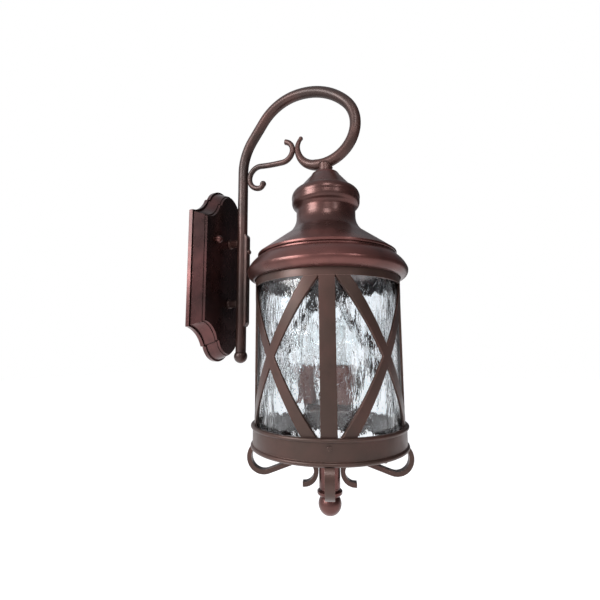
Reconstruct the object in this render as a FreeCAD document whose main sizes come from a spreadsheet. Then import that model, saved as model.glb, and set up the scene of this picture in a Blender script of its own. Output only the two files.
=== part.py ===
import FreeCAD, Part
import math
import os
import Sketcher

# Outdoor wall lantern: a scrolled iron arm on an ogee wall plate carries a round
# strapped lantern with a bell roof, seeded glass and three candle lamps.
# Frame: origin on the wall at the middle of the outlet-box crossbar, +Z up, the
# lantern hangs out along -Y, X along the wall. Millimetres throughout. Pieces of
# the bracket are drawn about the middle of the wall plate and pieces of the
# lantern about the middle of its cage; place() carries both into the frame.

SIZES = [
    # wall plate
    ("plate_width", 142.0), ("plate_height", 277.0), ("plate_shoulder", 87.0),
    ("plate_notch_x", 36.0), ("plate_notch_z", 115.0), ("plate_depth", 25.0),
    ("plate_flange", 6.2), ("plate_inset", 11.5), ("plate_wall", 4.0),
    # mounting hardware
    ("stud_spacing", 68.0), ("stud_rise", 48.5), ("stud_radius", 2.1),
    ("crossbar_length", 104.0), ("crossbar_width", 22.0), ("crossbar_thick", 2.5),
    ("slot_spacing", 88.9), ("cap_nut_radius", 6.2), ("cap_nut_depth", 8.5),
    # arm
    ("arm_radius", 8.0), ("arm_reach", 48.0), ("arm_foot", -124.0), ("arm_ball", 10.2),
    ("arm_straight", 166.0), ("arm_tip_radius", 2.8),
    ("lean_radius", 87.1), ("lean_run", 33.0), ("rise_radius", 77.0), ("crown_radius", 99.6),
    ("roll_radius", 53.7), ("tail_radius", 35.2), ("tip_radius", 20.1),
    ("standoff_radius", 6.0), ("standoff_rise", 48.5),
    ("saddle_top", 61.0), ("saddle_foot", -85.0), ("saddle_proud", 4.0),
    ("scroll_radius", 4.2),
    # lantern body
    ("reach", 190.0), ("cage_drop", 129.0), ("cage_turn", 20.0), ("cage_radius", 100.0),
    ("strap_thick", 3.0), ("strap_width", 19.0), ("brace_width", 12.5),
    ("brace_lean", 30.7), ("ring_foot", 94.0), ("ring_top", 109.0),
    ("band_top", -90.0), ("band_foot", -116.0), ("band_thick", 1.8), ("bead_radius", 2.6),
    ("glass_radius", 94.0), ("glass_thick", 2.5),
    # roof
    ("roof_sheet", 2.0), ("roof_top", 265.0), ("shoulder_radius", 49.0), ("shoulder_rise", 222.0),
    ("waist_radius", 42.5), ("waist_rise", 199.0), ("ridge_radius", 97.4), ("ridge_rise", 138.0),
    ("brim_radius", 111.5), ("brim_rise", 116.0), ("neck_radius", 10.2),
    # lamps
    ("lamp_circle", 28.0), ("lamp_turn", 128.0), ("sleeve_radius", 12.0), ("sleeve_top", -13.0),
    ("hub_top", -62.0), ("hub_radius", 34.0), ("lamp_base_radius", 6.0), ("bulb_radius", 17.3),
    ("bulb_height", 76.0),
    # lower spindle and scroll feet
    ("stem_radius", 14.0), ("stem_foot", -172.0), ("collar_foot", -181.0), ("ball_radius", 15.2),
    ("rod_radius", 4.85), ("turning_gap", 0.05),
    ("foot_thick", 6.0), ("foot_width", 11.0), ("hook_radius", 19.7), ("hook_centre", 87.5),
    ("hook_rise", -133.3), ("curl_radius", 16.0), ("curl_centre", 33.6), ("curl_rise", -151.5),
]
NUMBER = dict(SIZES)

doc = FreeCAD.newDocument("wall_lantern")
sheet = doc.addObject("Spreadsheet::Sheet", "Sizes")
for row, (alias, value) in enumerate(SIZES, start=1):
    sheet.set(f"A{row}", alias.replace("_", " "))
    sheet.set(f"B{row}", str(value))
    sheet.setAlias(f"B{row}", alias)
doc.recompute()


class Dim:
    """A length that knows its value and the sheet expression behind it."""

    def __init__(self, value, text):
        self.value = float(value)
        self.text = text

    def __add__(self, other):
        other = dim(other)
        return Dim(self.value + other.value, f"({self.text} + {other.text})")

    def __sub__(self, other):
        other = dim(other)
        return Dim(self.value - other.value, f"({self.text} - {other.text})")

    def __mul__(self, other):
        other = dim(other)
        return Dim(self.value * other.value, f"({self.text} * {other.text})")

    def __truediv__(self, other):
        other = dim(other)
        return Dim(self.value / other.value, f"({self.text} / {other.text})")

    def __neg__(self):
        return Dim(-self.value, f"(-1 * {self.text})")

    def __radd__(self, other):
        return dim(other) + self

    def __rsub__(self, other):
        return dim(other) - self

    def __rmul__(self, other):
        return dim(other) * self


def dim(number):
    return number if isinstance(number, Dim) else Dim(number, repr(float(number)))


def size(alias):
    return Dim(NUMBER[alias], f"Sizes.{alias}")


PARTS = []


def place(obj, label, x=0, y=0, z=0, turn=0):
    """Name a sub-part and bind its Placement to the sheet."""
    obj.Label = label
    for axis, value in (("x", x), ("y", y), ("z", z - size("stud_rise"))):
        obj.setExpression(f"Placement.Base.{axis}", dim(value).text)
    turn = dim(turn)
    if turn.value:
        obj.Placement.Rotation = FreeCAD.Rotation(FreeCAD.Vector(0, 0, 1), turn.value)
        obj.setExpression("Placement.Rotation.Angle", turn.text)
    PARTS.append(obj)
    return obj


def on_lantern(obj, label, turn=0, x=0, y=0):
    """Place a piece that is drawn about the lantern's own axis."""
    return place(obj, label, x, y - size("reach"), -size("cage_drop"), turn)


def plane(body, role):
    return next(f for f in body.Origin.OriginFeatures if f.Role == role)


def draw(body, role, outlines, offset=0):
    """Sketch closed outlines: each point is (u, v) or (u, v, radius), where a
    radius makes the edge that leaves the point an arc, left-turning if positive."""
    sketch = body.newObject("Sketcher::SketchObject", "Outline")
    sketch.AttachmentSupport = [(plane(body, role), "")]
    sketch.MapMode = "FlatFace"
    offset = dim(offset)
    if offset.value:
        sketch.setExpression("AttachmentOffset.Base.z", offset.text)
    for outline in outlines:
        if outline[0] == "circle":
            draw_circle(sketch, *outline[1:])
            continue
        draw_outline(sketch, [tuple(dim(c) for c in p) for p in outline])
    return sketch


def pin(sketch, geo, pos, axis, value):
    kind = "DistanceX" if axis == 0 else "DistanceY"
    if value.value >= 0:
        index = sketch.addConstraint(Sketcher.Constraint(kind, -1, 1, geo, pos, value.value))
        sketch.setExpression(f"Constraints[{index}]", value.text)
    else:
        index = sketch.addConstraint(Sketcher.Constraint(kind, geo, pos, -1, 1, -value.value))
        sketch.setExpression(f"Constraints[{index}]", (-value).text)


def draw_circle(sketch, u, v, radius):
    u, v, radius = dim(u), dim(v), dim(radius)
    centre = FreeCAD.Vector(u.value, v.value, 0)
    geo = sketch.addGeometry(Part.Circle(centre, FreeCAD.Vector(0, 0, 1), radius.value))
    pin(sketch, geo, 3, 0, u)
    pin(sketch, geo, 3, 1, v)
    index = sketch.addConstraint(Sketcher.Constraint("Radius", geo, radius.value))
    sketch.setExpression(f"Constraints[{index}]", radius.text)


def draw_outline(sketch, points):
    count = len(points)
    ends = []
    for i, point in enumerate(points):
        after = points[(i + 1) % count]
        a = FreeCAD.Vector(point[0].value, point[1].value, 0)
        b = FreeCAD.Vector(after[0].value, after[1].value, 0)
        if len(point) == 2:
            geo = sketch.addGeometry(Part.LineSegment(a, b))
            ends.append((geo, 1, 2))
            continue
        radius = point[2]
        bend = abs(radius.value)
        chord = b - a
        rise = bend - math.sqrt(max(bend * bend - chord.Length ** 2 / 4, 0.0))
        side = FreeCAD.Vector(chord.y, -chord.x, 0).normalize()
        middle = (a + b) / 2 + side * rise * (1 if radius.value > 0 else -1)
        geo = sketch.addGeometry(Part.Arc(a, middle, b))
        ends.append((geo, 1, 2) if radius.value > 0 else (geo, 2, 1))
        index = sketch.addConstraint(Sketcher.Constraint("Radius", geo, bend))
        sketch.setExpression(f"Constraints[{index}]", (radius if radius.value > 0 else -radius).text)
    for i, point in enumerate(points):
        geo, first, _ = ends[i]
        before, _, last = ends[i - 1]
        sketch.addConstraint(Sketcher.Constraint("Coincident", before, last, geo, first))
        pin(sketch, geo, first, 0, point[0])
        pin(sketch, geo, first, 1, point[1])


def new_body():
    return doc.addObject("PartDesign::Body", "Body")


def pad(body, role, outlines, length, offset=0, reverse=False, middle=False, name="Pad"):
    feature = body.newObject("PartDesign::Pad", name)
    feature.Profile = draw(body, role, outlines, offset)
    feature.setExpression("Length", dim(length).text)
    feature.Reversed = reverse
    feature.Midplane = middle
    doc.recompute()
    return feature


def pocket(body, role, outlines, length, offset=0, reverse=False, middle=False):
    before = body.Shape.Volume
    feature = body.newObject("PartDesign::Pocket", "Pocket")
    feature.Profile = draw(body, role, outlines, offset)
    feature.setExpression("Length", dim(length).text)
    feature.Reversed = reverse
    feature.Midplane = middle
    doc.recompute()
    if body.Shape.Volume > before - 0.5:
        raise RuntimeError("a pocket removed nothing")
    return feature


def spin(body, outline, angle=None, role="XZ_Plane", kind="Revolution"):
    feature = body.newObject(f"PartDesign::{kind}", kind)
    sketch = draw(body, role, [outline])
    feature.Profile = sketch
    feature.ReferenceAxis = (sketch, ["V_Axis"])
    if angle is None:
        feature.Angle = 360
    else:
        feature.Midplane = True
        feature.setExpression("Angle", angle.text)
    doc.recompute()
    return feature


def box(x0, x1, y0, y1):
    return [(x0, y0), (x1, y0), (x1, y1), (x0, y1)]


def turned(label, outline, turn=0, x=0, y=0):
    """A piece turned about the lantern axis, or about an axis beside it."""
    body = new_body()
    spin(body, outline)
    return on_lantern(body, label, turn, x, y)


# ---------------------------------------------------------------- wall plate
GROOVE = 1.2
FACE_CHAMFER = 2.6


def plate_outline(inset):
    """Flat sides, a hollow shoulder, a small notch and a round crown at each end."""
    half = size("plate_width") / 2 - inset
    shoulder = size("plate_shoulder") - inset * 0.8
    notch_x = size("plate_notch_x") - inset * 0.62
    notch_z = size("plate_notch_z") - inset * 0.85
    lip = notch_x - 4.5
    crown = size("plate_height") / 2 - inset
    cove = 46.0 - inset * 0.9
    arch = 34.5 - inset * 0.5
    return [
        (half, -shoulder), (half, shoulder, -cove), (notch_x, notch_z), (lip, notch_z + 0.8, arch),
        (0, crown, arch), (-lip, notch_z + 0.8), (-notch_x, notch_z, -cove),
        (-half, shoulder), (-half, -shoulder, -cove), (-notch_x, -notch_z),
        (-lip, -notch_z - 0.8, arch), (0, -crown, arch), (lip, -notch_z - 0.8), (notch_x, -notch_z, -cove),
    ]


def loft(body, sections):
    sketches = [draw(body, "XZ_Plane", [outline], offset) for outline, offset in sections]
    feature = body.newObject("PartDesign::AdditiveLoft", "Loft")
    feature.Profile = sketches[0]
    feature.Sections = sketches[1:]
    feature.Ruled = True
    doc.recompute()


depth = size("plate_depth")
flange = size("plate_flange")
face_inset = size("plate_inset")
plate = new_body()
pad(plate, "XZ_Plane", [plate_outline(dim(0))], flange)
loft(plate, [
    (plate_outline(dim(3.2)), flange - 0.01), (plate_outline(dim(4.0)), flange + GROOVE),
])
loft(plate, [
    (plate_outline(dim(3.0)), flange + GROOVE - 0.01), (plate_outline(face_inset - FACE_CHAMFER), depth - 3.2),
])
loft(plate, [
    (plate_outline(face_inset - 1.2), depth - 3.21), (plate_outline(face_inset), depth),
])
hollow = size("plate_width") / 2 - face_inset - size("plate_wall")
hollow_top = size("plate_shoulder") + 12
pocket(plate, "XZ_Plane", [
    [(hollow, -size("plate_shoulder") + 14), (hollow, size("plate_shoulder") - 14), (26, hollow_top),
     (-26, hollow_top), (-hollow, size("plate_shoulder") - 14), (-hollow, -size("plate_shoulder") + 14),
     (-26, -hollow_top), (26, -hollow_top)]], depth - size("plate_wall"), reverse=True)
stud_x = size("stud_spacing") / 2
rise = size("stud_rise")
pocket(plate, "XZ_Plane", [
    ("circle", stud_x, rise, size("stud_radius") + 0.4), ("circle", -stud_x, rise, size("stud_radius") + 0.4),
    ("circle", 0, size("standoff_rise"), 2.6), ("circle", 0, -size("standoff_rise"), 2.6)],
    depth + 10, reverse=True)
place(plate, "wall_plate")

# ------------------------------------------------------- crossbar and its fasteners
bar = new_body()
bar_half = size("crossbar_length") / 2
bar_low = rise - size("crossbar_width") / 2
bar_high = rise + size("crossbar_width") / 2
pad(bar, "XZ_Plane", [box(-bar_half, bar_half, bar_low, bar_high)], size("crossbar_thick"))
slot_x = size("slot_spacing") / 2
slots = []
for side in (1, -1):
    near, far = slot_x - 3.5, slot_x + 3.5
    if side > 0:
        slots.append([(near, rise - 2.4), (far, rise - 2.4, 2.4), (far, rise + 2.4), (near, rise + 2.4, 2.4)])
    else:
        slots.append([(-far, rise - 2.4), (-near, rise - 2.4, 2.4), (-near, rise + 2.4), (-far, rise + 2.4, 2.4)])
holes = [("circle", s, rise, size("stud_radius")) for s in (stud_x, -stud_x)]
holes.append(("circle", 0, rise - 6, 2.0))
pocket(bar, "XZ_Plane", slots + holes, size("crossbar_thick") + 4, reverse=True)
place(bar, "mounting_crossbar")

studs = new_body()
stud_tip = depth + size("cap_nut_depth") - 3.5
pad(studs, "XZ_Plane", [("circle", s, rise, size("stud_radius")) for s in (stud_x, -stud_x)], stud_tip)
pad(studs, "XZ_Plane", [("circle", s, rise, 4.2) for s in (stud_x, -stud_x)], 3.0,
    offset=size("crossbar_thick"))
place(studs, "mounting_studs")

ground = new_body()
pad(ground, "XZ_Plane", [("circle", 0, rise - 6, 1.95)], 7.0)
pad(ground, "XZ_Plane", [("circle", 0, rise - 6, 4.3)], 2.2, offset=size("crossbar_thick"))
pocket(ground, "XZ_Plane", [box(-4.6, 4.6, rise - 6.5, rise - 5.5)], 1.2,
       offset=size("crossbar_thick") + 3.4)
place(ground, "ground_screw")

for label, side in (("cap_nut_left", -1), ("cap_nut_right", 1)):
    nut = new_body()
    radius = size("cap_nut_radius")
    bore = size("stud_radius") + size("turning_gap")
    nut_depth = size("cap_nut_depth")
    spin(nut, [(bore, 0), (radius, 0), (radius, 2.2, 7.5), (1.2, nut_depth), (0, nut_depth),
               (0, nut_depth - 3.0), (bore, nut_depth - 3.0)])
    nut.Placement.Rotation = FreeCAD.Rotation(FreeCAD.Vector(1, 0, 0), 90)
    place(nut, label, stud_x * side, -(depth + 0.15), rise)

# ------------------------------------------------------------------ arm and stand-offs
arm_y = size("arm_reach")
arm_r = size("arm_radius")
standoff_back = depth
for label, sign in (("standoff_upper", 1), ("standoff_lower", -1)):
    post = new_body()
    post_z = size("standoff_rise") if sign > 0 else -size("standoff_rise")
    pad(post, "XZ_Plane", [("circle", 0, post_z, size("standoff_radius"))],
        arm_y - depth, offset=depth)
    pad(post, "XZ_Plane", [("circle", 0, post_z, size("standoff_radius") + 1.6)], 2.2, offset=depth)
    pocket(post, "XZ_Plane", [("circle", 0, post_z, 2.1)], 9.0, offset=depth, reverse=True)
    pocket(post, "XY_Plane", [("circle", 0, -arm_y, arm_r)], 60.0, offset=post_z, middle=True)
    place(post, label)

screws = new_body()
for sign in (1, -1):
    post_z = size("standoff_rise") if sign > 0 else -size("standoff_rise")
    pad(screws, "XZ_Plane", [("circle", 0, post_z, 2.05)], 12.0, offset=depth - size("plate_wall") - 0.5)
    pad(screws, "XZ_Plane", [("circle", 0, post_z, 4.5)], 2.4, offset=depth - size("plate_wall") - 2.4)
place(screws, "standoff_screws")


def vector(y, z, x=0.0):
    return FreeCAD.Vector(x, y, z)


def chain(start, heading, runs):
    """Tangent lines and arcs in the Y-Z plane. Each run is (length,) or
    (radius, turn in degrees), a positive turn bending to the left."""
    edges = []
    y, z = start
    angle = math.radians(heading)
    for run in runs:
        if len(run) == 1:
            end = (y + run[0] * math.cos(angle), z + run[0] * math.sin(angle))
            edges.append(Part.makeLine(vector(y, z), vector(*end)))
            y, z = end
            continue
        radius, turn = run[0], math.radians(run[1])
        side = 1 if turn > 0 else -1
        cy = y - side * radius * math.sin(angle)
        cz = z + side * radius * math.cos(angle)

        def on_arc(part):
            a = angle + turn * part
            return (cy + side * radius * math.sin(a), cz - side * radius * math.cos(a))

        middle, end = on_arc(0.5), on_arc(1.0)
        edges.append(Part.Arc(vector(y, z), vector(*middle), vector(*end)).toShape())
        y, z = end
        angle += turn
    return edges, (y, z), angle


def disc(at, way, radius):
    """A round section square to the path, its seam always on the +X side."""
    spot = Part.Circle(FreeCAD.Vector(0, 0, 0), FreeCAD.Vector(0, 1, 0), radius).toShape()
    spot.rotate(FreeCAD.Vector(0, 0, 0), FreeCAD.Vector(1, 0, 0), math.degrees(math.atan2(way.z, way.y)))
    spot.translate(at)
    return Part.Wire([spot])


def rod(edges, radius):
    """Sweep a round section along tangent edges."""
    first = edges[0]
    start = first.FirstParameter
    sweep = Part.BRepOffsetAPI.MakePipeShell(Part.Wire(edges))
    sweep.add(disc(first.valueAt(start), first.tangentAt(start), radius))
    sweep.build()
    sweep.makeSolid()
    return sweep.shape()


def tapered_rod(edges, radius, radius_end, steps=4):
    """A round bar that thins evenly along tangent edges, as forged to a point."""
    lengths = [edge.Length for edge in edges]
    total, run = sum(lengths), 0.0
    sections = [disc(edges[0].valueAt(edges[0].FirstParameter),
                     edges[0].tangentAt(edges[0].FirstParameter), radius)]
    for edge, length in zip(edges, lengths):
        for step in range(1, steps + 1):
            at = edge.getParameterByLength(length * step / steps)
            part = (run + length * step / steps) / total
            here = radius + (radius_end - radius) * part
            sections.append(disc(edge.valueAt(at), edge.tangentAt(at), here))
        run += length
    return Part.makeLoft(sections, True, False)


def add_shape(shape, label, lantern=False, turn=0):
    feature = doc.addObject("Part::Feature", label)
    feature.Shape = shape
    if lantern:
        return on_lantern(feature, label, turn)
    return place(feature, label)


def num(alias):
    return float(sheet.get(alias))


# The arm rises straight off its ball foot, leans out over the lantern, rolls
# round into a closing scroll and ends in a thin tapered tip.
lean = [(num("lean_radius"), 36.9), (num("lean_run"),), (num("rise_radius"), 48.1)]
roll = [(num("crown_radius"), 54.2), (num("roll_radius"), 100.0)]
tail = [(num("roll_radius"), 41.0)]
tip = [(num("tail_radius"), 76.3), (num("tip_radius"), 48.3)]
foot = (-num("arm_reach"), num("arm_foot"))
straight = (num("arm_straight") - num("arm_foot"),)
round_edges, bend, bend_way = chain(foot, 90.0, [straight] + lean + roll + tail)
tip_edges, tip_end, _ = chain(bend, math.degrees(bend_way), tip)
arm_radius = num("arm_radius")
arm_shape = rod(round_edges, arm_radius).fuse(tapered_rod(tip_edges, arm_radius, num("arm_tip_radius")))
arm_shape = arm_shape.fuse(Part.makeSphere(num("arm_tip_radius") + 0.5, vector(*tip_end))).removeSplitter()
add_shape(arm_shape.Solids[0], "scroll_arm")

lantern_y = -num("reach")
crossing = Part.makeLine(vector(lantern_y, 0), vector(lantern_y, 400.0))
loop_wire = Part.Wire(round_edges + tip_edges)
section = loop_wire.section(crossing)
loop_floor = min(vertex.Z for vertex in section.Vertexes)

ball = new_body()
ball_r = size("arm_ball")
arm_end = size("arm_foot")
ball_seat = 6.4
spin(ball, [(0, -ball_r, ball_r), (ball_r, 0, ball_r), (arm_r - 0.1, ball_seat), (0, ball_seat)])
place(ball, "arm_ball", 0, -arm_y, arm_end - ball_seat)

saddle = new_body()
saddle_half = 5.5
outer = arm_r + size("saddle_proud")
pad(saddle, "XY_Plane", [[(-saddle_half, -outer + 1.2), (-saddle_half + 1.5, -outer), (saddle_half - 1.5, -outer),
    (saddle_half, -outer + 1.2), (saddle_half, -arm_r + 3.0), (-saddle_half, -arm_r + 3.0)]],
    size("saddle_top") - size("saddle_foot"))
pocket(saddle, "XY_Plane", [("circle", 0, 0, arm_r)], size("saddle_top") - size("saddle_foot") + 2,
       offset=-1, reverse=True)
saddle_long = size("saddle_top") - size("saddle_foot")
pocket(saddle, "YZ_Plane", [
    [(-outer - 1, saddle_long - 7), (-arm_r + 0.6, saddle_long + 0.4), (-outer - 1, saddle_long + 0.4)],
    [(-outer - 1, -0.4), (-arm_r + 0.6, -0.4), (-outer - 1, 7)]], 30.0, middle=True)
place(saddle, "arm_saddle", 0, -arm_y, size("saddle_foot"))

saddle_nut = new_body()
spin(saddle_nut, [(0, 0), (4.2, 0), (4.2, 1.2, 4.55), (0, 4.0)])
saddle_nut.Placement.Rotation = FreeCAD.Rotation(FreeCAD.Vector(1, 0, 0), 90)
place(saddle_nut, "saddle_cap_nut", 0, -(arm_y + outer), 32.0)

# The light S scroll springs from the arm's tip and curls back on to the upright.
S_RUNS = [(16.0, 93.6), (17.4, 71.8), (300.0, 7.49), (18.3, -121.4), (18.0, -62.0), (7.5, -80.0)]
rod_edges, rod_end, _ = chain((lantern_y + 65.5, 201.6), 193.5, S_RUNS)
scroll_r = num("scroll_radius")
scroll_shape = rod(rod_edges, scroll_r)
scroll_shape = scroll_shape.fuse(Part.makeSphere(scroll_r + 0.7, vector(*rod_end))).removeSplitter()
add_shape(scroll_shape.Solids[0], "s_scroll")

# ---------------------------------------------------------------------------- roof
top = size("roof_top")
sheet_t = size("roof_sheet")
drop = size("cage_drop")
neck_r = size("neck_radius")
neck_top = Dim(loop_floor, repr(loop_floor)) + drop - arm_r
shoulder_r, shoulder_z = size("shoulder_radius"), size("shoulder_rise")
waist_r, waist_z = size("waist_radius"), size("waist_rise")
ridge_r, ridge_z = size("ridge_radius"), size("ridge_rise")
brim_r, brim_z = size("brim_radius"), size("brim_rise")
neck = new_body()
spin(neck, [(5.1, top + 0.2), (neck_r + 1.2, top + 0.2), (neck_r, top + 1.4), (neck_r, neck_top + 7.0),
            (0, neck_top + 7.0), (0, top + 3.4), (5.1, top + 3.4)])
pocket(neck, "XZ_Plane", [("circle", 0, neck_top + arm_r, arm_r + 0.7)], 40.0, middle=True)
on_lantern(neck, "neck_coupling")
turned("threaded_nipple", [(3.4, top - 22), (5.0, top - 22), (5.0, top + 3.2), (3.4, top + 3.2)])
turned("roof_bell", [
    (5.1, top + 0.2), (5.1, top - sheet_t), (18.0, top - sheet_t - 1.4), (39.0, shoulder_z + 13.6, -11.0),
    (shoulder_r - sheet_t, shoulder_z - 1.5), (shoulder_r - sheet_t, shoulder_z - 3.5, -7.0),
    (shoulder_r - 4.53, shoulder_z - 8.9, 11.0), (waist_r - sheet_t, shoulder_z - 17.3),
    (waist_r - sheet_t, waist_z - 3.0, 35.0), (54.2, 168.8), (ridge_r - 2.8, ridge_z - 1.6),
    (ridge_r - 1.6, ridge_z - 1.6, 1.6), (ridge_r, ridge_z), (ridge_r, ridge_z + 2.0),
    (56.0, 170.5, -33.0), (waist_r, waist_z - 3.0), (waist_r, shoulder_z - 17.3, -9.0),
    (shoulder_r - 3.25, shoulder_z - 10.4, 9.0), (shoulder_r, shoulder_z - 3.5), (shoulder_r, shoulder_z + 1.0, 12.5),
    (40.2, shoulder_z + 16.0), (21.1, top - 4.6, 6.0), (16.0, top)])
turned("roof_lock_nut", [(5.1, top - 10.0), (9.6, top - 10.0), (9.6, top - 2.6), (5.1, top - 2.6)])
turned("roof_brim", [
    (84.0, ridge_z - sheet_t - 1.8), (ridge_r - 4.8, ridge_z - sheet_t - 1.8, -34.0),
    (brim_r - sheet_t, brim_z + 0.8, -8.5), (101.6, 105.6), (101.6, 103.6, 10.6), (brim_r, brim_z, 36.5),
    (ridge_r + 0.2, ridge_z - 4.6), (ridge_r - 2.4, ridge_z - 4.2), (ridge_r - 2.4, ridge_z - 1.8),
    (84.0, ridge_z - 1.8)])
cage_r = size("cage_radius")
strap_t = size("strap_thick")
ring_foot, ring_top = size("ring_foot"), size("ring_top")
turned("roof_pan", [(24.0, ring_top), (cage_r - 0.5, ring_top), (cage_r - 0.5, ring_top + 1.5), (24.0, ring_top + 1.5)])

pillars = new_body()
for pillar in range(3):
    spot = math.radians(120.0 * pillar + 30.0)
    pad(pillars, "XY_Plane", [("circle", 88.5 * math.cos(spot), 88.5 * math.sin(spot), 3.0)],
        ridge_z - sheet_t - 1.8 - ring_top - 1.5, offset=ring_top + 1.5)
on_lantern(pillars, "roof_pillars")

# ---------------------------------------------------------------------------- cage
turned("cage_top_ring", box(cage_r - strap_t, cage_r, ring_foot, ring_top))
band_top, band_foot = size("band_top"), size("band_foot")
band_in = cage_r + 0.2
band_out = band_in + size("band_thick")
bead = size("bead_radius")
lip = 88.0
turned("base_band", [
    (lip, band_foot - 2.0), (band_out, band_foot - 2.0), (band_out, band_foot - 1.6, bead),
    (band_out + bead, band_foot - 1.6 + bead, bead), (band_out, band_foot - 1.6 + 2 * bead),
    (band_out, band_top - bead, bead), (band_out + bead, band_top, bead), (band_out, band_top + bead),
    (band_in, band_top + bead), (band_in, band_foot), (lip, band_foot)])

turn0 = size("cage_turn")
strap_foot = band_foot + 0.2
for number in range(4):
    strap = new_body()
    degrees = size("strap_width") / cage_r * 57.29578
    spin(strap, box(cage_r - strap_t, cage_r, strap_foot, ring_foot), angle=degrees)
    on_lantern(strap, f"upright_strap_{number + 1}", turn0 + 90.0 * number)


def primitive(kind, **sizes):
    obj = doc.addObject(kind, kind.split("::")[1])
    for name, value in sizes.items():
        obj.setExpression(name, dim(value).text)
    return obj


def combine(kind, *shapes):
    obj = doc.addObject(kind, kind.split("::")[1])
    if kind == "Part::MultiFuse":
        obj.Shapes = list(shapes)
    else:
        obj.Base, obj.Tool = shapes
    return obj


# Each brace pair is two flat bars crossing on the drum between two uprights.
brace_foot = band_top - 2.0
# The lean is given for a cage 100 in radius and 186 tall; it follows the width and height of another cage.
brace_span = (ring_foot - brace_foot).value
slope = math.tan(math.radians(num("brace_lean"))) * cage_r.value / 100.0 * 186.0 / brace_span
brace_lean = math.degrees(math.atan(slope))
for number in range(4):
    skin = primitive("Part::Cylinder", Radius=cage_r - 0.1, Height=ring_foot - brace_foot)
    core = primitive("Part::Cylinder", Radius=cage_r - strap_t + 0.1, Height=ring_foot - brace_foot)
    for obj in (skin, core):
        obj.setExpression("Placement.Base.z", brace_foot.text)
    bars = []
    for lean_side in (1, -1):
        width = size("brace_width")
        bar_box = primitive("Part::Box", Length=cage_r + 10, Width=width, Height=ring_foot * 3)
        lean_turn = FreeCAD.Rotation(FreeCAD.Vector(1, 0, 0), lean_side * brace_lean)
        corner = lean_turn.multVec(FreeCAD.Vector(0, -width.value / 2, -ring_foot.value * 1.5))
        bar_box.Placement = FreeCAD.Placement(corner, lean_turn)
        bars.append(bar_box)
    cross = combine("Part::MultiFuse", *bars)
    brace = combine("Part::Common", combine("Part::Cut", skin, core), cross)
    on_lantern(brace, f"cross_brace_{number + 1}", turn0 + 90.0 * number + 45.0)

strap_screws = new_body()
screw_sketch = [("circle", 0, -98.0, 2.4)]
pad(strap_screws, "YZ_Plane", screw_sketch, 1.5, offset=band_out)
first_pad = strap_screws.Tip
pattern = strap_screws.newObject("PartDesign::PolarPattern", "PolarPattern")
pattern.Originals = [first_pad]
pattern.Axis = (plane(strap_screws, "Z_Axis"), [""])
pattern.Angle = 360
pattern.Occurrences = 4
strap_screws.Tip = pattern
on_lantern(strap_screws, "strap_screws", turn0)

glass_r = size("glass_radius")
glass_t = size("glass_thick")
turned("glass_cylinder", box(glass_r - glass_t, glass_r, band_foot + 1.2, ring_top - 1.5))
turned("glass_gasket", box(glass_r - glass_t - 1.0, glass_r + 0.8, band_foot, band_foot + 1.2))

# --------------------------------------------------------------------------- lamps
bridge_top = band_foot - 2.0
bridge = new_body()
bridge_t = 2.5
pad(bridge, "XY_Plane", [box(-94.0, 94.0, -9.0, 9.0)], bridge_t, offset=bridge_top - bridge_t)
rod_r = size("rod_radius")
pocket(bridge, "XY_Plane", [("circle", 0, 0, rod_r + 0.1)], 10.0, offset=bridge_top - bridge_t, middle=True)
on_lantern(bridge, "base_bridge", turn0 + 45.0)
bridge_screws = new_body()
pad(bridge_screws, "XY_Plane", [("circle", 91.0, 0, 2.6), ("circle", -91.0, 0, 2.6)], 1.8,
    offset=bridge_top - bridge_t, reverse=True)
on_lantern(bridge_screws, "bridge_screws", turn0 + 45.0)

hub_top, hub_r = size("hub_top"), size("hub_radius")
turned("lamp_hub", [
    (rod_r + 0.1, bridge_top), (9.0, bridge_top), (9.0, hub_top - 15.0, -6.0), (15.0, hub_top - 11.0),
    (hub_r - 4.0, hub_top - 11.0), (hub_r, hub_top - 8.0), (hub_r, hub_top - 1.5), (hub_r - 1.5, hub_top),
    (rod_r + 0.1, hub_top)])
turned("hub_nut", [(rod_r + 0.1, hub_top), (8.0, hub_top), (8.0, hub_top + 5.0), (rod_r + 0.1, hub_top + 5.0)])
lamp_r = size("lamp_circle")
sleeve_r, sleeve_top = size("sleeve_radius"), size("sleeve_top")
base_r = size("lamp_base_radius")
gap = size("turning_gap")
socket_top = sleeve_top - 1.0
bulb_r, bulb_tall = size("bulb_radius"), size("bulb_height")
glass_foot = sleeve_top + 0.6
for number in range(3):
    swing = math.radians(num("lamp_turn") + 120.0 * number)
    at = {"x": lamp_r * math.cos(swing), "y": lamp_r * math.sin(swing)}
    name = f"{number + 1}"
    turned(f"candle_sleeve_{name}", box(sleeve_r - 1.0, sleeve_r, hub_top, sleeve_top), **at)
    turned(f"lamp_socket_{name}", [
        (0, hub_top), (8.0, hub_top), (8.0, hub_top + 12.0), (sleeve_r - 1.2, hub_top + 15.0),
        (sleeve_r - 1.2, socket_top), (base_r + gap, socket_top), (base_r + gap, sleeve_top - 26.0),
        (0, sleeve_top - 26.0)], **at)
    turned(f"bulb_base_{name}", [
        (0, sleeve_top - 25.6), (2.4, sleeve_top - 25.6), (base_r, sleeve_top - 22.5), (base_r, glass_foot),
        (0, glass_foot)], **at)
    wall = 0.8
    crown = glass_foot + bulb_tall
    turned(f"bulb_{name}", [
        (base_r - 0.2, glass_foot), (base_r + 0.6, glass_foot), (base_r + 0.9, glass_foot + 5.0),
        (bulb_r, glass_foot + 26.0, 26.0), (8.5, crown - 19.0), (2.2, crown - 1.6, 2.3125), (0, crown),
        (0, crown - 1.4), (1.2, crown - 2.4), (8.5 - wall, crown - 19.3, -25.2),
        (bulb_r - wall, glass_foot + 26.0), (base_r + 0.1, glass_foot + 5.2)], **at)

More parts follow.
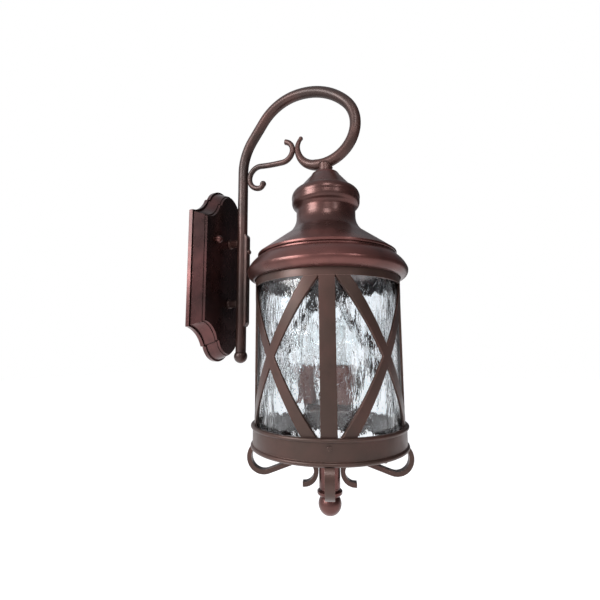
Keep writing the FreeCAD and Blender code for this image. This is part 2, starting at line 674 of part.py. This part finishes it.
# --------------------------------------------------------- spindle below the lantern
bridge_foot = bridge_top - bridge_t
stem_r, stem_foot = size("stem_radius"), size("stem_foot")
collar_foot = size("collar_foot")
ball_rad = size("ball_radius")
turned("centre_rod", box(0, rod_r, collar_foot - 9.0, hub_top + 8.0))
turned("stem_tube", [(rod_r + 0.1, stem_foot), (stem_r - 1.0, stem_foot), (stem_r, stem_foot + 1.0),
                     (stem_r, bridge_foot), (rod_r + 0.1, bridge_foot)])
turned("stem_collar", [
    (rod_r + 0.1, collar_foot), (14.6, collar_foot), (16.6, collar_foot + 2.2), (16.6, collar_foot + 5.2),
    (14.8, collar_foot + 6.8), (13.0, collar_foot + 6.8), (13.0, stem_foot), (rod_r + 0.1, stem_foot)])
ball_flat = (ball_rad.value ** 2 - 10.6 ** 2) ** 0.5
centre = collar_foot - 0.3 - 10.6
turned("ball_finial", [
    (0, centre - ball_rad, ball_rad), (ball_rad, centre, ball_rad), (ball_flat, collar_foot - 0.3),
    (rod_r + gap, collar_foot - 0.3), (rod_r + gap, collar_foot - 9.6), (0, collar_foot - 9.6)])

# The scroll feet hook out from under the base band, run back in below the open
# floor and curl against the stem. Each is one flat bar bent on edge.
hook = (num("hook_centre"), num("hook_rise"))
curl = (num("curl_centre"), num("curl_rise"))
hook_r, curl_r = num("hook_radius"), num("curl_radius")
across, fall = curl[0] - hook[0], curl[1] - hook[1]
span = math.hypot(across, fall)
tangent_way = math.degrees(math.atan2(fall, across)) % 360.0
tangent_way -= math.degrees(math.asin((hook_r + curl_r) / span))
tangent_run = math.sqrt(span ** 2 - (hook_r + curl_r) ** 2)
HOOK_START = 44.0
start = (hook[0] + hook_r * math.cos(math.radians(HOOK_START)),
         hook[1] + hook_r * math.sin(math.radians(HOOK_START)))
foot_runs = [(hook_r, tangent_way - HOOK_START + 90.0 - 360.0), (tangent_run,),
             (curl_r, 360.0 - tangent_way), (2.0,)]
foot_edges, _, _ = chain(start, HOOK_START - 90.0, foot_runs)
half_t, half_w = num("foot_thick") / 2, num("foot_width") / 2
way = foot_edges[0].tangentAt(foot_edges[0].FirstParameter)
side_way = FreeCAD.Vector(1, 0, 0).cross(way).normalize()
begin = vector(*start)
cross_x = FreeCAD.Vector(half_w, 0, 0)
corners = [begin + cross_x + side_way * half_t, begin + cross_x - side_way * half_t,
           begin - cross_x - side_way * half_t, begin - cross_x + side_way * half_t]
bar_section = Part.makePolygon(corners + corners[:1])
foot_shape = Part.Wire(foot_edges).makePipeShell([bar_section], True, False)
for number in range(4):
    add_shape(foot_shape, f"foot_scroll_{number + 1}", lantern=True, turn=turn0 + 90.0 * number - 90.0)

# ------------------------------------------------------------------ check and write
doc.recompute()
failed = [obj for obj in doc.Objects if "Invalid" in obj.State or "Error" in obj.State]
if failed:
    names = [f"{obj.Label} in {[p.Label for p in obj.InList]}" for obj in failed]
    raise RuntimeError("did not recompute: " + "; ".join(names))
os.makedirs("parts", exist_ok=True)
for obj in PARTS:
    shape = obj.Shape
    if shape.isNull() or not shape.isValid() or not shape.Solids:
        raise RuntimeError(f"{obj.Label} is not a sound solid")
    print(f"{obj.Label:22s} {len(shape.Solids)} solid(s) {shape.Volume / 1000:9.2f} cm3")
    shape.exportStep(f"parts/{obj.Label}.step")
print(len(PARTS), "parts written")
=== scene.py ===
"""Outdoor wall lantern: the materials, fine detail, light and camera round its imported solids."""

import math
import random

import bmesh
import bpy
from mathutils import Matrix, Vector, noise


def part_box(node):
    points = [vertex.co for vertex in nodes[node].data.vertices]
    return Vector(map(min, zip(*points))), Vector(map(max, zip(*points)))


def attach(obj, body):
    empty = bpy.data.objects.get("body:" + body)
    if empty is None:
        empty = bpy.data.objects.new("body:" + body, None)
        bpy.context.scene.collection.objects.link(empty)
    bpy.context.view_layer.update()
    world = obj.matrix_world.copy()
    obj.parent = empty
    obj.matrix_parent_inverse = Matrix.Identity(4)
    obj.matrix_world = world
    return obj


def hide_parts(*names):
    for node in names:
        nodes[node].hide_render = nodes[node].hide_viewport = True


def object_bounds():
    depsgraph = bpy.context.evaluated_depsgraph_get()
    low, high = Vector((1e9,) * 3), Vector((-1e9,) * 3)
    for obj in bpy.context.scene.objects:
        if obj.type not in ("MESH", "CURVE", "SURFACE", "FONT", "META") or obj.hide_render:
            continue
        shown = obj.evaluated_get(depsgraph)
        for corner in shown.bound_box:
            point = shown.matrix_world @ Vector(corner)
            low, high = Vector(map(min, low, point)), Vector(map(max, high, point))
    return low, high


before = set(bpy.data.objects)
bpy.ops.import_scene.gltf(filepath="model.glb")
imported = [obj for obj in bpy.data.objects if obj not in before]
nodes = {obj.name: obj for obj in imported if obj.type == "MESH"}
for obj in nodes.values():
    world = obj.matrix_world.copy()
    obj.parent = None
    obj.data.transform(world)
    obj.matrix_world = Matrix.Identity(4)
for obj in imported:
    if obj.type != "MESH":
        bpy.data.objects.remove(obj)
cad_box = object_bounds()
MM = 0.001
random.seed(41)


# ---------------------------------------------------------------- node materials

class Shader:
    """One node material, built step by step; every texture reads the row frame, in metres."""

    def __init__(self, name):
        self.material = bpy.data.materials.new(name)
        self.material.use_nodes = True
        self.tree = self.material.node_tree
        self.surface = self.tree.nodes["Principled BSDF"]
        self.place = self.add("ShaderNodeTexCoord").outputs["Object"]

    def add(self, kind, settings=(), **inputs):
        node = self.tree.nodes.new(kind)
        for key, value in dict(settings).items():
            setattr(node, key, value)
        for key, value in inputs.items():
            self.feed(node, key.replace("_", " "), value)
        return node

    def feed(self, node, key, value):
        socket = node.inputs[key]
        if isinstance(value, bpy.types.NodeSocket):
            self.tree.links.new(value, socket)
        else:
            socket.default_value = value

    def set(self, **inputs):
        for key, value in inputs.items():
            self.feed(self.surface, key.replace("_", " "), value)

    def stretched(self, x, y, z):
        scale = self.add("ShaderNodeMapping", Vector=self.place, Scale=(x, y, z))
        return scale.outputs["Vector"]

    def noise(self, scale, detail=3.0, roughness=0.5, at=None, distortion=0.0):
        node = self.add("ShaderNodeTexNoise", Vector=at or self.place, Scale=scale, Detail=detail,
                        Roughness=roughness, Distortion=distortion)
        return node.outputs["Fac"]

    def cells(self, scale, at=None):
        node = self.add("ShaderNodeTexVoronoi", {"feature": "F1"}, Vector=at or self.place, Scale=scale)
        return node.outputs["Distance"]

    def curve(self, value, low, high, to_low=0.0, to_high=1.0):
        node = self.add("ShaderNodeMapRange", {"interpolation_type": "SMOOTHSTEP"}, Value=value)
        for key, number in zip(("From Min", "From Max", "To Min", "To Max"), (low, high, to_low, to_high)):
            self.feed(node, key, number)
        return node.outputs["Result"]

    def mix(self, share, first, second, blend="MIX"):
        node = self.add("ShaderNodeMix", {"data_type": "RGBA", "blend_type": blend})
        for index, value in ((0, share), (6, first), (7, second)):
            socket = node.inputs[index]
            if isinstance(value, bpy.types.NodeSocket):
                self.tree.links.new(value, socket)
            else:
                socket.default_value = value
        return node.outputs[2]

    def maths(self, operation, first, second):
        node = self.add("ShaderNodeMath", {"operation": operation})
        for index, value in enumerate((first, second)):
            if isinstance(value, bpy.types.NodeSocket):
                self.tree.links.new(value, node.inputs[index])
            else:
                node.inputs[index].default_value = value
        return node.outputs[0]

    def bump(self, height, distance, strength=1.0, normal=None):
        node = self.add("ShaderNodeBump", Height=height, Distance=distance, Strength=strength)
        if normal:
            self.feed(node, "Normal", normal)
        return node.outputs["Normal"]

    def soft_edges(self, radius):
        """The normal rounded over sharp edges, and a mask that is 1 on those edges."""
        rounded = self.add("ShaderNodeBevel", {"samples": 6}, Radius=radius).outputs["Normal"]
        flat = self.add("ShaderNodeNewGeometry").outputs["True Normal"]
        both = self.add("ShaderNodeVectorMath", {"operation": "DOT_PRODUCT"})
        self.tree.links.new(rounded, both.inputs[0])
        self.tree.links.new(flat, both.inputs[1])
        return rounded, self.curve(both.outputs["Value"], 0.97, 0.80)


def colour(red, green, blue):
    return (red, green, blue, 1.0)


def bronze(name, dark, warm, gloss, edge=0.0, edge_rub_and_highlight=0.5, grain=0.00003, metal=0.6, flecks=0.2):
    """Oil-rubbed bronze powder coat: brown and copper clouds, metal fleck and orange peel.

    Edges are rounded over the radius edge and lightened to pale copper by the share
    edge_rub_and_highlight: partly worn edges, partly a painted highlight along them. Gloss is the middle
    roughness, grain the depth of the orange peel, and flecks the strength of the metal fleck."""
    paint = Shader(name)
    clouds = paint.curve(paint.noise(11.0, 4.0, 0.6), 0.36, 0.66)
    tone = paint.mix(clouds, colour(*dark), colour(*warm))
    fleck = paint.curve(paint.noise(2200.0, 2.0, 0.6), 0.58, 0.75)
    tone = paint.mix(paint.maths("MULTIPLY", fleck, flecks), tone, colour(*(2.0 * c for c in warm)))
    smudge = paint.curve(paint.noise(60.0, 5.0, 0.65), 0.55, 0.8)
    tone = paint.mix(paint.maths("MULTIPLY", smudge, 0.35), tone, colour(*(0.45 * c for c in dark)))
    edges = None
    if edge:
        edges, rubbed_and_highlit_edges = paint.soft_edges(edge)
        # painted highlight along the edges, together with worn edges: the edge mask lightens the paint to
        # pale copper
        tone = paint.mix(paint.maths("MULTIPLY", rubbed_and_highlit_edges, edge_rub_and_highlight), tone, colour(0.34, 0.20, 0.17))
    rough = paint.curve(paint.noise(34.0, 4.0, 0.6), 0.3, 0.7, gloss - 0.06, gloss + 0.07)
    skin = paint.noise(750.0, 2.0, 0.55)
    paint.set(Base_Color=tone, Metallic=metal, Roughness=rough,
              Normal=paint.bump(skin, grain, 0.6, edges))
    paint.set(Coat_Weight=0.15, Coat_Roughness=0.22)
    return paint.material


def zinc(name):
    """Bright zinc plate with soft spangle and fine wiping marks."""
    paint = Shader(name)
    spangle = paint.cells(240.0)
    tone = paint.mix(paint.curve(spangle, 0.1, 0.7), colour(0.50, 0.52, 0.53), colour(0.66, 0.67, 0.66))
    marks = paint.noise(90.0, 6.0, 0.7, at=paint.stretched(1.0, 1.0, 9.0))
    rough = paint.curve(marks, 0.3, 0.7, 0.24, 0.42)
    paint.set(Base_Color=tone, Metallic=1.0, Roughness=rough, Normal=paint.bump(marks, 0.00004))
    return paint.material


def seeded_glass(name):
    """Clear glass with drawn ripples and strings of small seeds."""
    paint = Shader(name)
    ripple = paint.noise(150.0, 3.0, 0.55, at=paint.stretched(1.0, 1.0, 0.26), distortion=0.6)
    seeds = paint.curve(paint.cells(420.0, at=paint.stretched(1.0, 1.0, 0.6)), 0.05, 0.22, 1.0, 0.0)
    strewn = paint.curve(paint.noise(70.0, 2.0, 0.6), 0.42, 0.6)
    busy = paint.noise(26.0, 2.0, 0.5, at=paint.stretched(1.0, 1.0, 0.7))
    bubbles = paint.maths("MULTIPLY", paint.maths("MULTIPLY", seeds, strewn), 0.5)
    height = paint.maths("ADD", ripple, bubbles)
    height = paint.maths("MULTIPLY", height, paint.curve(busy, 0.40, 0.60, 0.25, 1.0))
    # painted shade: the glass's own faint blue-grey tint is darkened along the ripples, standing in for
    # the dark streaks that their refraction throws
    tint = paint.mix(paint.curve(ripple, 0.3, 0.7), colour(0.90, 0.95, 0.97), colour(0.98, 0.99, 1.0))
    paint.set(Base_Color=tint, Roughness=0.0, IOR=1.47, Transmission_Weight=1.0,
              Normal=paint.bump(height, 0.0020, 0.9))
    return paint.material


def clear_glass(name):
    """Thin lamp glass with the faint waviness of a blown bulb."""
    paint = Shader(name)
    waves = paint.noise(60.0, 2.0, 0.4)
    tint = paint.mix(waves, colour(0.95, 0.97, 0.97), colour(1.0, 1.0, 1.0))
    paint.set(Base_Color=tint, Roughness=0.0, IOR=1.46, Transmission_Weight=1.0,
              Normal=paint.bump(waves, 0.0002, 0.4))
    return paint.material


def moulded(name, dark, light, gloss, grain):
    """Moulded rubber or phenolic with a slight bloom and a pitted skin."""
    paint = Shader(name)
    bloom = paint.curve(paint.noise(45.0, 5.0, 0.6), 0.4, 0.7)
    pits = paint.noise(900.0, 3.0, 0.6)
    paint.set(Base_Color=paint.mix(bloom, colour(*dark), colour(*light)),
              Roughness=paint.curve(pits, 0.3, 0.7, gloss - 0.08, gloss + 0.08),
              Normal=paint.bump(pits, grain, 0.6))
    return paint.material


def lamp_cap(name):
    """Nickelled brass screw cap: the rolled thread shows as close rings."""
    paint = Shader(name)
    rings = paint.add("ShaderNodeTexWave", {"wave_type": "BANDS", "bands_direction": "Z"},
                      Vector=paint.place, Scale=130.0, Distortion=0.4).outputs["Fac"]
    tarnish = paint.curve(paint.noise(160.0, 4.0, 0.6), 0.4, 0.7)
    paint.set(Base_Color=paint.mix(tarnish, colour(0.62, 0.56, 0.44), colour(0.45, 0.38, 0.27)),
              Metallic=1.0, Roughness=0.28, Normal=paint.bump(rings, 0.0004, 0.7))
    return paint.material


def tungsten_wire(name):
    """Cold filament wire: dark grey with bright draw marks."""
    paint = Shader(name)
    marks = paint.noise(1200.0, 2.0, 0.6)
    paint.set(Base_Color=paint.mix(marks, colour(0.16, 0.15, 0.14), colour(0.40, 0.38, 0.36)),
              Metallic=1.0, Roughness=0.35)
    return paint.material


SPUN = bronze("bronze_spun", (0.062, 0.026, 0.022), (0.126, 0.045, 0.039), 0.31, metal=0.75)
# CAST rounds its edges without the pale copper; SHEET and PLATE get the painted edge highlight and worn
# edges
CAST = bronze("bronze_forged", (0.030, 0.016, 0.013), (0.068, 0.028, 0.022), 0.42, edge=0.0025, edge_rub_and_highlight=0.0,
              grain=0.000006, flecks=0.06)
SHEET = bronze("bronze_sheet", (0.044, 0.024, 0.018), (0.068, 0.031, 0.024), 0.44, edge=0.0007)
PLATE = bronze("bronze_plate", (0.044, 0.022, 0.021), (0.100, 0.040, 0.038), 0.28, edge=0.0006, edge_rub_and_highlight=0.28,
               metal=0.92, flecks=0.1)
SLEEVE = bronze("bronze_sleeve", (0.13, 0.050, 0.038), (0.25, 0.100, 0.078), 0.42, metal=0.3)
ZINC = zinc("zinc_plate")
GLASS = seeded_glass("seeded_glass")
BULB = clear_glass("bulb_glass")
CAP = lamp_cap("lamp_cap")
SOCKET = moulded("socket_phenolic", (0.012, 0.011, 0.010), (0.03, 0.028, 0.026), 0.4, 0.00003)
RUBBER = moulded("gasket_rubber", (0.010, 0.010, 0.010), (0.028, 0.027, 0.026), 0.72, 0.00006)
WIRE = tungsten_wire("lamp_wire")

FINISHES = (
    (SPUN, ("roof_bell", "roof_brim", "ball_finial", "stem_collar", "stem_tube", "roof_pan", "cap_nut")),
    (SLEEVE, ("candle_sleeve",)),
    (CAST, ("scroll_arm", "arm_ball", "s_scroll", "standoff_upper", "standoff_lower", "arm_saddle",
            "neck_coupling", "saddle_cap_nut")),
    (SHEET, ("upright_strap", "cross_brace", "base_band", "cage_top_ring", "base_bridge", "foot_scroll",
             "strap_screws", "bridge_screws", "lamp_hub", "roof_pillars")),
    (PLATE, ("wall_plate",)),
    (ZINC, ("mounting_crossbar", "mounting_studs", "standoff_screws", "ground_screw", "threaded_nipple",
            "roof_lock_nut", "centre_rod", "hub_nut")),
    (GLASS, ("glass_cylinder",)),
    (RUBBER, ("glass_gasket",)),
    (SOCKET, ("lamp_socket",)),
    (CAP, ("bulb_base",)),
    (BULB, ("bulb_1", "bulb_2", "bulb_3")),
)


def finish_cad_nodes():
    for name, node in nodes.items():
        for material, starts in FINISHES:
            if name.startswith(starts):
                node.data.materials.clear()
                node.data.materials.append(material)
                break
        else:
            raise ValueError(f"no finish for {name}")


finish_cad_nodes()


# ---------------------------------------------------------------- mesh pieces

def piece(name, build, material, body):
    """A mesh piece made by build(mesh) in the row frame, riding on a body."""
    mesh = bmesh.new()
    build(mesh)
    bmesh.ops.recalc_face_normals(mesh, faces=mesh.faces)
    data = bpy.data.meshes.new(name)
    mesh.to_mesh(data)
    mesh.free()
    for face in data.polygons:
        face.use_smooth = True
    data.materials.append(material)
    made = bpy.data.objects.new(name, data)
    bpy.context.scene.collection.objects.link(made)
    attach(made, body)
    return made


def middle(name):
    low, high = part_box(name)
    return (low + high) / 2


# ---------------------------------------------------------------- seeded glass

def glass_tube(mesh):
    """The drawn tube: rippled inside and out, a closed wall with a rounded lip at both ends."""
    low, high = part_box("glass_cylinder")
    centre, outer = middle("glass_cylinder"), (high.x - low.x) / 2
    around, rows, wall = 240, 110, 2.5 * MM
    wave_depth, lip_round = 0.85 * MM, 0.6 * MM
    across_scale, drawn_scale, swell = 95, 24, 1.3
    wave_fade, lip_reach = 4 * MM, 1.2 * MM
    skins = []
    for depth, phase in ((0.0, 3.1), (wall, 8.7)):
        skin = []
        for row in range(rows + 1):
            share = row / rows
            height = low.z + (high.z - low.z) * share
            lip = min(share, 1 - share) * (high.z - low.z)
            ring = []
            for step in range(around):
                turn = 2 * math.pi * step / around
                out = Vector((math.cos(turn), math.sin(turn), 0))
                spot = out * outer
                sample = (spot.x * across_scale, spot.y * across_scale, height * drawn_scale + phase)
                wave = noise.fractal(Vector(sample), 0.8, 2.0, 3)
                wave = 0.5 + 0.5 * max(-1, min(1, swell * wave))
                ease = min(1, lip / wave_fade)
                inward = wave_depth * wave * ease + lip_round * (1 - min(1, lip / lip_reach))
                reach = outer - depth + (inward if depth else -inward)
                ring.append(mesh.verts.new((centre.x + out.x * reach, centre.y + out.y * reach, height)))
            skin.append(ring)
        skins.append(skin)
    outside, inside = skins
    for skin in skins:
        for lower, upper in zip(skin, skin[1:]):
            for a in range(around):
                b = (a + 1) % around
                mesh.faces.new((lower[a], lower[b], upper[b], upper[a]))
    for row in (0, -1):
        for a in range(around):
            b = (a + 1) % around
            mesh.faces.new((outside[row][a], inside[row][a], inside[row][b], outside[row][b]))


shade = piece("seeded_glass_tube", glass_tube, GLASS, "fixture")
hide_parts("glass_cylinder")


# ---------------------------------------------------------------- welds and lamp wires

def ring_of(mesh, spot, normal, across, radius, sides, wobble=0.0):
    """One ring of vertices round a spot on a path."""
    up = normal.cross(across).normalized()
    ring = []
    for step in range(sides):
        turn = 2 * math.pi * step / sides
        reach = radius * (1 + wobble * (random.random() - 0.5))
        ring.append(mesh.verts.new(spot + (across * math.cos(turn) + up * math.sin(turn)) * reach))
    return ring


def tube(mesh, points, radii, sides=8, closed=False, wobble=0.0):
    """A tube along the points; it is capped unless the path is closed."""
    count = len(points)
    across = None
    rings = []
    for index, spot in enumerate(points):
        if closed:
            along = points[(index + 1) % count] - points[index - 1]
        else:
            along = points[min(index + 1, count - 1)] - points[max(index - 1, 0)]
        along.normalize()
        if across is None:
            across = along.orthogonal().normalized()
        across = (across - along * across.dot(along)).normalized()
        radius = radii[index] if isinstance(radii, (list, tuple)) else radii
        rings.append(ring_of(mesh, spot, along, across, radius, sides, wobble))
    spans = list(zip(rings, rings[1:]))
    if closed:
        last, first = rings[-1], rings[0]
        shift = min(range(sides), key=lambda k: (last[0].co - first[k].co).length)
        spans.append((last, first[shift:] + first[:shift]))
    else:
        mesh.faces.new(reversed(rings[0]))
        mesh.faces.new(rings[-1])
    for lower, upper in spans:
        for a in range(sides):
            b = (a + 1) % sides
            mesh.faces.new((lower[a], lower[b], upper[b], upper[a]))


def neck_weld():
    """The lumpy bead where the arm lies in its coupling, draped along the edge of the round seat."""
    radius, thick, ripple = 10.0 * MM, 1.2 * MM, 0.9 * MM
    seat, shallow, arm_above = 8.6 * MM, 1.6 * MM, 1.0 * MM
    neck = middle("neck_coupling")
    arm = Vector((neck.x, neck.y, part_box("neck_coupling")[1].z + arm_above))
    up = Vector((0, 0, 1))
    across = up.orthogonal().normalized()
    over = up.cross(across)
    steps = int(radius * 2 * math.pi / ripple)
    points, radii = [], []
    for step in range(steps):
        turn = math.radians(360 * step / steps)
        out = (across * math.cos(turn) + over * math.sin(turn)) * radius
        depth = math.sqrt(max(seat ** 2 - out.x ** 2, shallow ** 2))
        points.append(arm + out - up * depth)
        radii.append(thick * (1 + 0.22 * math.sin(step * 2.1) + 0.25 * (random.random() - 0.5)))

    def bead(mesh):
        tube(mesh, points, radii, 8, closed=True, wobble=0.12)

    piece("neck_weld", bead, CAST, "fixture")


def filament(number):
    """A candle lamp's inside: pressed glass stem, two lead wires, two hooks and a zigzag filament."""
    low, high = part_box(f"bulb_{number}")
    centre = (low + high) / 2
    base = Vector((centre.x, centre.y, low.z))
    body = f"lamp_{number}"

    def at(x, y, z):
        return base + Vector((x, y, z)) * MM

    def stem(mesh):
        heights = (0.5, 5, 9, 12, 16, 22, 25, 26.5)
        widths = (4.2, 3.4, 2.6, 2.9, 1.6, 1.2, 1.5, 0.9)
        tube(mesh, [at(0, 0, z) for z in heights], [w * MM for w in widths], 16)

    piece(f"bulb_stem_{number}", stem, BULB, body)

    def leads(mesh):
        for side in (-1, 1):
            lead = [(1.6, 0, 9), (2.6, 0, 18), (6.4, 0, 34), (6.8, 0, 37)]
            tube(mesh, [at(side * x, y, z) for x, y, z in lead], 0.25 * MM, 6)
            hook = [(0.5, 0, 26), (2.2, 0.6, 44), (2.4, 0.6, 50)]
            tube(mesh, [at(side * x, y, z) for x, y, z in hook], 0.15 * MM, 5)
        crest = [(-6.8, 37), (-2.4, 50), (0, 39), (2.4, 50), (6.8, 37)]
        steps, coil, forward = 26, 0.28, 0.6
        wire = []
        for (x0, z0), (x1, z1) in zip(crest, crest[1:]):
            for step in range(steps):
                share = step / steps
                turn = step * 2.4
                x, z = x0 + (x1 - x0) * share, z0 + (z1 - z0) * share
                wire.append(at(x + coil * math.cos(turn), forward + coil * math.sin(turn), z))
        tube(mesh, wire, 0.12 * MM, 5)

    piece(f"bulb_filament_{number}", leads, WIRE, body)


neck_weld()
for number in (1, 2, 3):
    filament(number)


# ---------------------------------------------------------------- stage, light and camera

def floor():
    """A wide white ground well below the lantern, which hangs on a wall."""
    size, drop = 9.0, 0.42
    level = cad_box[0].z - drop
    corners = ((-size, -size), (size, -size), (size, size), (-size, size))
    data = bpy.data.meshes.new("floor")
    data.from_pydata([(x, y, level) for x, y in corners], [], [(0, 1, 2, 3)])
    paint = Shader("floor_white")
    tone = paint.mix(paint.noise(2.0, 3.0), colour(0.93, 0.93, 0.93), colour(0.95, 0.95, 0.95))
    paint.set(Base_Color=tone, Roughness=0.8, Emission_Color=tone, Emission_Strength=0.62)
    data.materials.append(paint.material)
    made = bpy.data.objects.new("floor", data)
    bpy.context.scene.collection.objects.link(made)


def softbox(name, target, azimuth, elevation, distance, size, watts):
    """A square soft light that looks at the target from an azimuth and elevation in degrees."""
    a, e = math.radians(azimuth), math.radians(elevation)
    back = Vector((math.sin(a) * math.cos(e), -math.cos(a) * math.cos(e), math.sin(e)))
    data = bpy.data.lights.new(name, "AREA")
    data.size = size
    data.energy = watts
    lamp = bpy.data.objects.new(name, data)
    lamp.location = target + back * distance
    lamp.rotation_mode = "QUATERNION"
    lamp.rotation_quaternion = (-back).to_track_quat("-Z", "Y")
    bpy.context.scene.collection.objects.link(lamp)


def studio():
    """A white cyclorama: white to the eye, white behind through the glass, and a soft light elsewhere,
    brighter from the wall side than from the far side."""
    world = bpy.data.worlds.new("studio")
    bpy.context.scene.world = world
    world.use_nodes = True
    tree = world.node_tree
    tree.nodes.clear()
    way = tree.nodes.new("ShaderNodeTexCoord").outputs["Generated"]

    def glow(toward, low, high, dim, bright):
        along = tree.nodes.new("ShaderNodeVectorMath")
        along.operation = "DOT_PRODUCT"
        along.inputs[1].default_value = Vector(toward).normalized()
        tree.links.new(way, along.inputs[0])
        ease = tree.nodes.new("ShaderNodeMapRange")
        ease.interpolation_type = "SMOOTHSTEP"
        ease.inputs["From Min"].default_value = low
        ease.inputs["From Max"].default_value = high
        tree.links.new(along.outputs["Value"], ease.inputs["Value"])
        blend = tree.nodes.new("ShaderNodeMix")
        blend.data_type = "RGBA"
        blend.inputs[6].default_value = (*dim, 1)
        blend.inputs[7].default_value = (*bright, 1)
        tree.links.new(ease.outputs["Result"], blend.inputs[0])
        sky = tree.nodes.new("ShaderNodeBackground")
        tree.links.new(blend.outputs[2], sky.inputs["Color"])
        return sky.outputs[0]

    def either(test, no, yes):
        both = tree.nodes.new("ShaderNodeMixShader")
        for socket, value in zip(both.inputs, (test, no, yes)):
            tree.links.new(value, socket)
        return both.outputs[0]

    path = tree.nodes.new("ShaderNodeLightPath")
    soft = glow((-0.55, 0.75, 0.15), -0.9, 0.9, (0.05, 0.055, 0.06), (0.85, 0.86, 0.90))
    behind = glow((0.90, 0.41, 0.08), 0.15, 0.75, (0.16, 0.18, 0.20), (1.12, 1.12, 1.15))
    white = tree.nodes.new("ShaderNodeBackground")
    white.inputs["Color"].default_value = (1, 1, 1, 1)
    lit = either(path.outputs["Is Transmission Ray"], soft, behind)
    shown = either(path.outputs["Is Camera Ray"], lit, white.outputs[0])
    tree.links.new(shown, tree.nodes.new("ShaderNodeOutputWorld").inputs["Surface"])
    bpy.context.scene.view_settings.view_transform = "Standard"


def camera():
    """The eye: half a metre out from the lantern's axis, level with its glass, looking slightly up."""
    swing, distance, eye_level = math.radians(20), 0.53, -0.16989
    axis = middle("glass_cylinder")
    right = Vector((math.sin(swing), -math.cos(swing), 0))
    toward = Vector((math.cos(swing), math.sin(swing), 0))
    up = Vector((0, 0, 1))
    yaw, pitch, roll = -0.07205, 0.13183, -0.005083
    look = right * (math.sin(yaw) * math.cos(pitch)) + toward * (math.cos(yaw) * math.cos(pitch))
    look += up * math.sin(pitch)
    side = right * math.cos(yaw) - toward * math.sin(yaw)
    crown = side.cross(look)
    side, crown = (side * math.cos(roll) + crown * math.sin(roll),
                   crown * math.cos(roll) - side * math.sin(roll))
    spot = Vector((axis.x, axis.y, eye_level)) - toward * distance
    data = bpy.data.cameras.new("camera")
    data.sensor_width = 36
    data.lens = 22.719
    data.clip_start, data.clip_end = 0.02, 60
    eye = bpy.data.objects.new("camera", data)
    eye.matrix_world = Matrix((side, crown, -look)).transposed().to_4x4()
    eye.location = spot
    bpy.context.scene.collection.objects.link(eye)
    bpy.context.scene.camera = eye


floor()
studio()
camera()
heart = middle("glass_cylinder")
softbox("key_left", heart, -122, 24, 1.6, 0.7, 24)
softbox("front_soft", heart, -66, 40, 1.9, 0.5, 9)
softbox("front_right", heart, -34, 26, 2.0, 0.35, 4)
